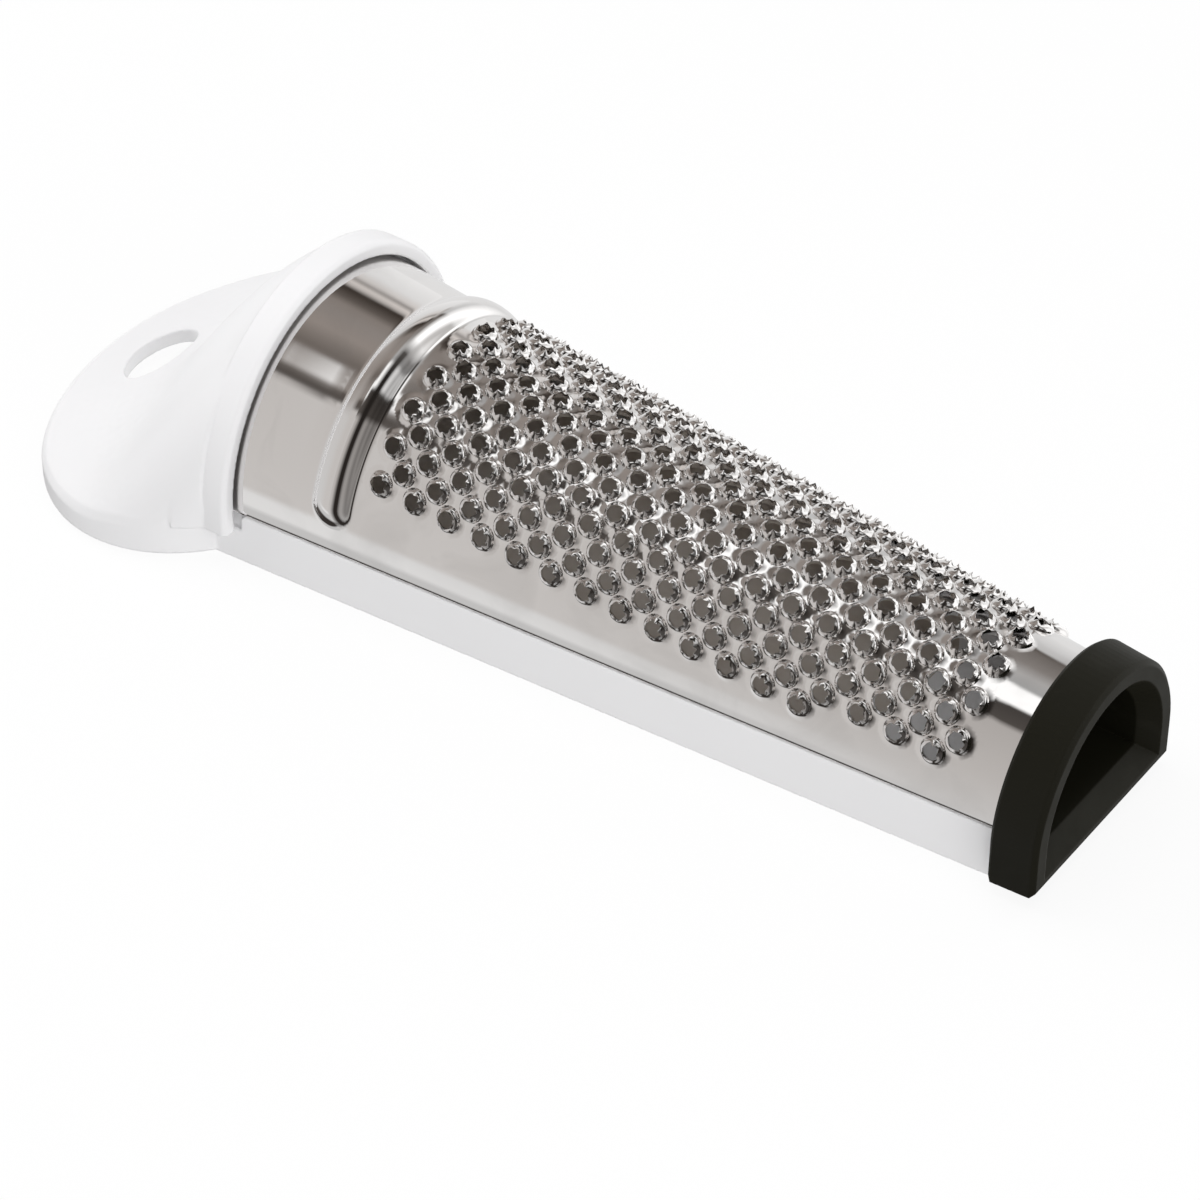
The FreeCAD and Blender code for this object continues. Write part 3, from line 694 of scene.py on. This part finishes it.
def bumped(tree, shader, height, strength, distance):
    """Adds a small relief to a shader's normal."""
    bump = tree.nodes.new("ShaderNodeBump")
    feed(tree, bump.inputs["Strength"], strength)
    feed(tree, bump.inputs["Distance"], distance)
    feed(tree, bump.inputs["Height"], height)
    feed(tree, shader.inputs["Normal"], bump.outputs["Normal"])


def give(piece, material):
    """Makes this the only material of a piece."""
    piece.data.materials.clear()
    piece.data.materials.append(material)


print("tools for materials:", [tool.__name__ for tool in (place_group, between, tinted, bumped)])

# %% [markdown]
# ## Materials
# White plastic is a clean white with a satin skin, and a painted shade makes it darker and browner
# inside the nutmeg store.
# The steel is a bright rolled sheet: almost a mirror, softened by fine rolling lines and smudges.
# The rubber is almost black and reflects little, with the dry look of a moulded foot.

# %% Make the materials
PLASTIC_TONES = (0.86, 0.857, 0.865), (0.89, 0.887, 0.893)
PLASTIC_ROUGHNESS = 0.34, 0.46
# Painted shade: inside the nutmeg store the white plastic is mixed towards this darker, browner
# tone.
STORE_SHADE_TONE = (0.54, 0.48, 0.42)
STEEL_TONES = (0.86, 0.845, 0.835), (0.79, 0.775, 0.765)
STEEL_ROUGHNESS = 0.045, 0.11
ROLLING_LINES = (40.0, 2600.0, 2600.0)
RUBBER_TONES = (0.0085, 0.0080, 0.0045), (0.014, 0.0135, 0.009)
RUBBER_ROUGHNESS = 0.5, 0.68
RUBBER_SHINE = 0.2
# Strength and depth of each relief.
PLASTIC_RELIEF = 0.12, 0.02 * MM
STEEL_RELIEF = 0.10, 0.004 * MM
RUBBER_RELIEF = 0.3, 0.02 * MM


def white_plastic_material():
    """Satin white plastic, with a darker, browner painted shade inside the store."""
    material, tree, shader = new_material("white_plastic_satin")
    grain = place_group(tree, fine_grain, Grain_Size=1400.0, Broad_Size=70.0)
    marks = place_group(tree, handling_marks, Size=60.0, Cover=0.5)
    store_shading = place_group(tree, store_shade, Size=500.0)
    white = tinted(tree, grain["Mask"], *PLASTIC_TONES)
    # Painted shade inside the store: the white is mixed towards a darker, browner tone there.
    feed(tree, shader.inputs["Base Color"], tinted(tree, store_shading["Mask"], white, STORE_SHADE_TONE))
    feed(tree, shader.inputs["Roughness"], between(tree, marks["Mask"], *PLASTIC_ROUGHNESS))
    bumped(tree, shader, grain["Height"], *PLASTIC_RELIEF)
    return material


def steel_material():
    """Bright steel with rolling lines along the sheet."""
    material, tree, shader = new_material("bright_rolled_steel")
    shader.inputs["Metallic"].default_value = 1.0
    place = tree.nodes.new("ShaderNodeTexCoord")
    stretch = tree.nodes.new("ShaderNodeMapping")
    stretch.inputs["Scale"].default_value = ROLLING_LINES
    feed(tree, stretch.inputs["Vector"], place.outputs["Object"])
    lines = noise_node(tree, stretch.outputs["Vector"], 1.0)
    marks = place_group(tree, handling_marks, Size=110.0, Cover=0.48)
    feed(tree, shader.inputs["Base Color"], tinted(tree, marks["Mask"], *STEEL_TONES))
    feed(tree, shader.inputs["Roughness"], between(tree, marks["Mask"], *STEEL_ROUGHNESS))
    bumped(tree, shader, lines, *STEEL_RELIEF)
    return material


def rubber_material():
    """Matt black rubber."""
    material, tree, shader = new_material("black_rubber_matt")
    shader.inputs["Specular IOR Level"].default_value = RUBBER_SHINE
    grain = place_group(tree, fine_grain, Grain_Size=2200.0, Broad_Size=160.0)
    marks = place_group(tree, handling_marks, Size=120.0, Cover=0.55)
    feed(tree, shader.inputs["Base Color"], tinted(tree, marks["Mask"], *RUBBER_TONES))
    feed(tree, shader.inputs["Roughness"], between(tree, grain["Mask"], *RUBBER_ROUGHNESS))
    bumped(tree, shader, grain["Height"], *RUBBER_RELIEF)
    return material


plastic = white_plastic_material()
give(moulding, plastic)
give(door, plastic)
give(steel, steel_material())
give(cap, rubber_material())
print("materials:", [m.name for m in bpy.data.materials if m.users])

# %% [markdown]
# ## The room in the steel
# Polished steel shows the room, so the room matters as much as the metal. Here it is drawn by
# direction. The angle round the grater's long axis picks a band: -90 degrees is straight down, 0
# the near side, 90 overhead and 180 the far side. The floor below is dark, the near wall a warm
# pale grey, and above it lie a thin dark gap, dim ceiling bands and bright far windows.
#
# Five such rooms are drawn. The first three are what the steel shows right beside the collar, a
# little farther along, and at the cap. The front room is the mostly dark space beyond the cap,
# and the end room is the wall behind the handle.

# %% Draw the bands of the rooms
# Each band: angle in degrees, grey level from 0 to 255 as seen, and warmth. Levels over 255 are
# lamps and windows.
MOUTH_ROOM = [
    (-180, 236, 0), (-138, 230, 0), (-122, 56, 0.08), (-64, 50, 0.08), (-54, 205, 0),
    (-38, 205, 0), (-35, 234, 0), (-27, 232, 0), (-23, 206, 0.015), (48, 198, 0.02),
    (51, 84, 0.06), (56, 84, 0.08), (60, 142, 0.05), (68, 138, 0.05), (78, 106, 0.07),
    (94, 142, 0.06), (108, 138, 0.05), (117, 130, 0.06), (123, 90, 0.08), (132, 46, 0.16),
    (136, 190, 0.03), (139, 214, 0.03), (143, 146, 0.03), (147, 212, 0.02), (156, 232, 0),
    (180, 246, 0),
]
COLLAR_ROOM = [
    (-180, 236, 0), (-138, 230, 0), (-122, 56, 0.08), (-64, 50, 0.08), (-54, 205, 0),
    (-38, 205, 0), (-35, 230, 0), (-27, 226, 0), (-23, 206, 0.015), (44, 204, 0.015),
    (48, 84, 0.06), (53, 84, 0.06), (57, 140, 0.03), (61, 268, 0), (72, 262, 0),
    (76, 112, 0.05), (84, 118, 0.05), (95, 148, 0.05), (108, 134, 0.05), (122, 124, 0.06),
    (127, 82, 0.08), (137, 56, 0.12), (140, 190, 0.02), (154, 186, 0.02), (160, 228, 0),
    (180, 236, 0),
]
CAP_ROOM = [
    (-180, 232, 0), (-138, 228, 0), (-122, 56, 0.08), (-64, 50, 0.08), (-54, 212, 0),
    (-30, 204, 0.01), (0, 192, 0.02), (44, 178, 0.025), (49, 78, 0.06), (66, 66, 0.06),
    (70, 275, 0), (88, 275, 0), (92, 170, 0), (106, 176, 0.01), (120, 132, 0.04),
    (138, 112, 0.05), (144, 84, 0.08), (148, 200, 0), (162, 212, 0), (180, 228, 0),
]
FRONT_ROOM = [
    (-180, 280, 0), (-140, 270, 0), (-120, 52, 0.08), (0, 40, 0.10), (80, 34, 0.10),
    (100, 80, 0.04), (114, 285, 0), (180, 280, 0),
]
END_ROOM = [
    (-180, 236, 0), (-135, 228, 0), (-118, 84, 0.06), (-66, 84, 0.06), (-50, 214, 0),
    (40, 206, 0.01), (60, 170, 0.03), (90, 150, 0.05), (125, 160, 0.04), (140, 216, 0),
    (180, 236, 0),
]
print("bands:", [len(r) for r in (MOUTH_ROOM, COLLAR_ROOM, CAP_ROOM, FRONT_ROOM, END_ROOM)])

# %% [markdown]
# ## From bands to a room
# A colour ramp turns each list of bands into a room. Black and white ramps along the grater then
# blend one room into the next. They run over the share of the direction that points along the
# grater, from -1 at the handle to 1 at the cap.

# %% Blend the rooms into one
world = bpy.data.worlds.new("studio")
bpy.context.scene.world = world
world.use_nodes = True
tree = world.node_tree
tree.nodes.clear()
link = tree.links.new

direction = tree.nodes.new("ShaderNodeTexCoord")
axes = tree.nodes.new("ShaderNodeSeparateXYZ")
link(direction.outputs["Generated"], axes.inputs["Vector"])
along, across, up = axes.outputs
round_axis = math_node(tree, "ARCTAN2", up, math_node(tree, "MULTIPLY", across, -1.0))
round_share = math_node(tree, "MULTIPLY_ADD", round_axis, 1 / (2 * math.pi), 0.5)
along_share = math_node(tree, "MULTIPLY_ADD", along, 0.5, 0.5)


def grey(level, warmth):
    """The linear colour of an sRGB level, with more red and less blue the warmer it is."""
    return tuple(
        ((level * (1 + shift) / 255 + 0.055) / 1.055) ** 2.4
        for shift in (warmth, 0.0, -0.7 * warmth)
    )


def ramp_over(measure, low, high, steps):
    """A colour ramp over one measure of the direction, from (value, colour) steps."""
    ramp = tree.nodes.new("ShaderNodeValToRGB")
    ramp.color_ramp.interpolation = "LINEAR"
    while len(ramp.color_ramp.elements) < len(steps):
        ramp.color_ramp.elements.new(0.5)
    for element, (value, colour) in zip(ramp.color_ramp.elements, steps):
        element.position = (value - low) / (high - low)
        element.color = (*colour, 1)
    link(measure, ramp.inputs["Fac"])
    return ramp.outputs["Color"]


def room(bands):
    """One room, its bands laid round the long axis."""
    steps = [(angle, grey(level, warmth)) for angle, level, warmth in bands]
    return ramp_over(round_share, -180, 180, steps)


def along_ramp(steps):
    """A black and white ramp along the grater."""
    return ramp_over(along_share, -1, 1, [(at, (share,) * 3) for at, share in steps])


past_mouth = along_ramp([(-1, 0), (-0.378, 0), (-0.362, 1), (1, 1)])
past_collar = along_ramp([(-1, 0), (-0.34, 0), (-0.25, 1), (1, 1)])
to_front = along_ramp([
    (-1, 0), (-0.20, 0), (0.02, 1), (0.18, 1), (0.30, 0.4), (0.38, 0.35), (0.50, 0.65),
    (0.58, 0.5), (0.70, 0.92), (1, 0.92),
])
to_end = along_ramp([(-1, 1), (-0.82, 1), (-0.58, 0), (1, 0)])
wide_end = tinted(tree, past_mouth, room(MOUTH_ROOM), room(COLLAR_ROOM))
whole_length = tinted(tree, past_collar, wide_end, room(CAP_ROOM))
with_front = tinted(tree, to_front, whole_length, room(FRONT_ROOM))
room_colour = tinted(tree, to_end, with_front, room(END_ROOM))
print("nodes in the world:", len(tree.nodes))

# %% [markdown]
# ## What each kind of ray sees
# The camera sees a plain white backdrop, reflections see the drawn room, and everything else gets
# a weak, even, nearly white light that fills the shadows.

# %% Share out the world
FILL_COLOUR = (1.0, 0.99, 1.0, 1)
FILL_STRENGTH = 0.30
WHITE = (1, 1, 1, 1)


def backdrop(colour, strength=1.0):
    """A world background of a plain colour, or of a colour from another node."""
    node = tree.nodes.new("ShaderNodeBackground")
    node.inputs["Strength"].default_value = strength
    if isinstance(colour, tuple):
        node.inputs["Color"].default_value = colour
    else:
        link(colour, node.inputs["Color"])
    return node.outputs[0]


def shader_switch(fac, off, on):
    """One of two shaders, picked by a kind of ray."""
    mix = tree.nodes.new("ShaderNodeMixShader")
    link(fac, mix.inputs["Fac"])
    link(off, mix.inputs[1])
    link(on, mix.inputs[2])
    return mix.outputs[0]


path = tree.nodes.new("ShaderNodeLightPath")
out = tree.nodes.new("ShaderNodeOutputWorld")
fill = backdrop(FILL_COLOUR, FILL_STRENGTH)
unseen = shader_switch(path.outputs["Is Glossy Ray"], fill, backdrop(room_colour))
seen = shader_switch(path.outputs["Is Camera Ray"], unseen, backdrop(WHITE))
link(seen, out.inputs["Surface"])
print("world:", world.name)

# %% [markdown]
# ## Lamps
# Five square softboxes light the plastic. The steel doesn't show them, since its room already has
# bright bands drawn in. The left and top lamps shape the handle, the near and right ones open up
# the side towards the camera, and the back one rounds off the far rim.

# %% Hang the lamps
SOFTBOXES = [
    ("left_softbox", (-0.55, -0.07, 0.41), 0.5, 2.0),
    ("top_softbox", (0.0, 0.0, 0.69), 0.5, 1.8),
    ("near_softbox", (0.52, -0.28, 0.37), 0.5, 1.5),
    ("right_softbox", (0.66, -0.07, 0.21), 0.4, 0.8),
    ("back_softbox", (0.1, 0.55, 0.45), 0.5, 0.6),
]

for name, place, size, power in SOFTBOXES:
    lamp = bpy.data.lights.new(name, "AREA")
    lamp.size = size
    lamp.energy = power
    holder = bpy.data.objects.new(name, lamp)
    bpy.context.collection.objects.link(holder)
    holder.location = place
    holder.rotation_euler = (-Vector(place)).to_track_quat("-Z", "Y").to_euler()
    holder.visible_glossy = False
    holder.visible_camera = False
print("lamps:", [name for name, *_ in SOFTBOXES])

# %% [markdown]
# ## The table
# The grater rests on a plain white table. A share of glow makes it as white as the backdrop, apart
# from the grater's own soft shadow. The steel doesn't show the table, since its room has a floor.

# %% Lay the table
TABLE_HALF = 2.0
TABLE_GLOW = 0.9
TABLE_TONE = (0.9, 0.9, 0.9, 1)
TABLE_ROUGHNESS = 0.8


def table_material():
    """Matt white, mostly glow."""
    material, table_tree, shader = new_material("white_table")
    shader.inputs["Base Color"].default_value = TABLE_TONE
    shader.inputs["Roughness"].default_value = TABLE_ROUGHNESS
    glow = table_tree.nodes.new("ShaderNodeEmission")
    mix = table_tree.nodes.new("ShaderNodeMixShader")
    mix.inputs["Fac"].default_value = TABLE_GLOW
    result = table_tree.nodes["Material Output"]
    table_tree.links.new(shader.outputs[0], mix.inputs[1])
    table_tree.links.new(glow.outputs[0], mix.inputs[2])
    table_tree.links.new(mix.outputs[0], result.inputs["Surface"])
    return material


corner_signs = [(-1, -1), (1, -1), (1, 1), (-1, 1)]
table = new_piece(
    "table", [(TABLE_HALF * x, TABLE_HALF * y, 0) for x, y in corner_signs], [(0, 1, 2, 3)]
)
give(table, table_material())
table.visible_glossy = False
table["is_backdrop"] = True
print("table, m:", 2 * TABLE_HALF)

# %% [markdown]
# ## The camera
# The camera looks down on the near side of the grater from the cap's end. It stands well back
# with a long lens, so the grater hardly narrows with distance.

# %% Place the camera
AZIMUTH = math.radians(36.39)
ELEVATION = math.radians(42.144)
ROLL = -0.00673
LENS = 135.0
SENSOR_WIDTH = 36.0
NEAR_CLIP = 0.01
CAMERA_PLACE = Vector((269.44 * MM + MOUTH, -314.12 * MM, 352.18 * MM))

camera = bpy.data.objects.new("camera", bpy.data.cameras.new("camera"))
bpy.context.collection.objects.link(camera)
camera.data.lens = LENS
camera.data.sensor_width = SENSOR_WIDTH
camera.data.clip_start = NEAR_CLIP
camera.location = CAMERA_PLACE
looking = Vector((
    -math.sin(AZIMUTH) * math.cos(ELEVATION),
    math.cos(AZIMUTH) * math.cos(ELEVATION),
    -math.sin(ELEVATION),
))
camera.rotation_mode = "QUATERNION"
camera.rotation_quaternion = looking.to_track_quat("-Z", "Y") @ Quaternion((0, 0, 1), ROLL)
bpy.context.scene.camera = camera
bpy.context.scene.view_settings.view_transform = "Standard"
print("camera, mm:", [round(v / MM, 1) for v in camera.location])

# %% [markdown]
# ## Sizes
# The box of everything above is printed in the same form as the box of the CAD part at the start,
# so that the two can be compared.

# %% Print the sizes
low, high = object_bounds()
print("visual box, mm:", [round(v / MM, 1) for v in low], [round(v / MM, 1) for v in high])
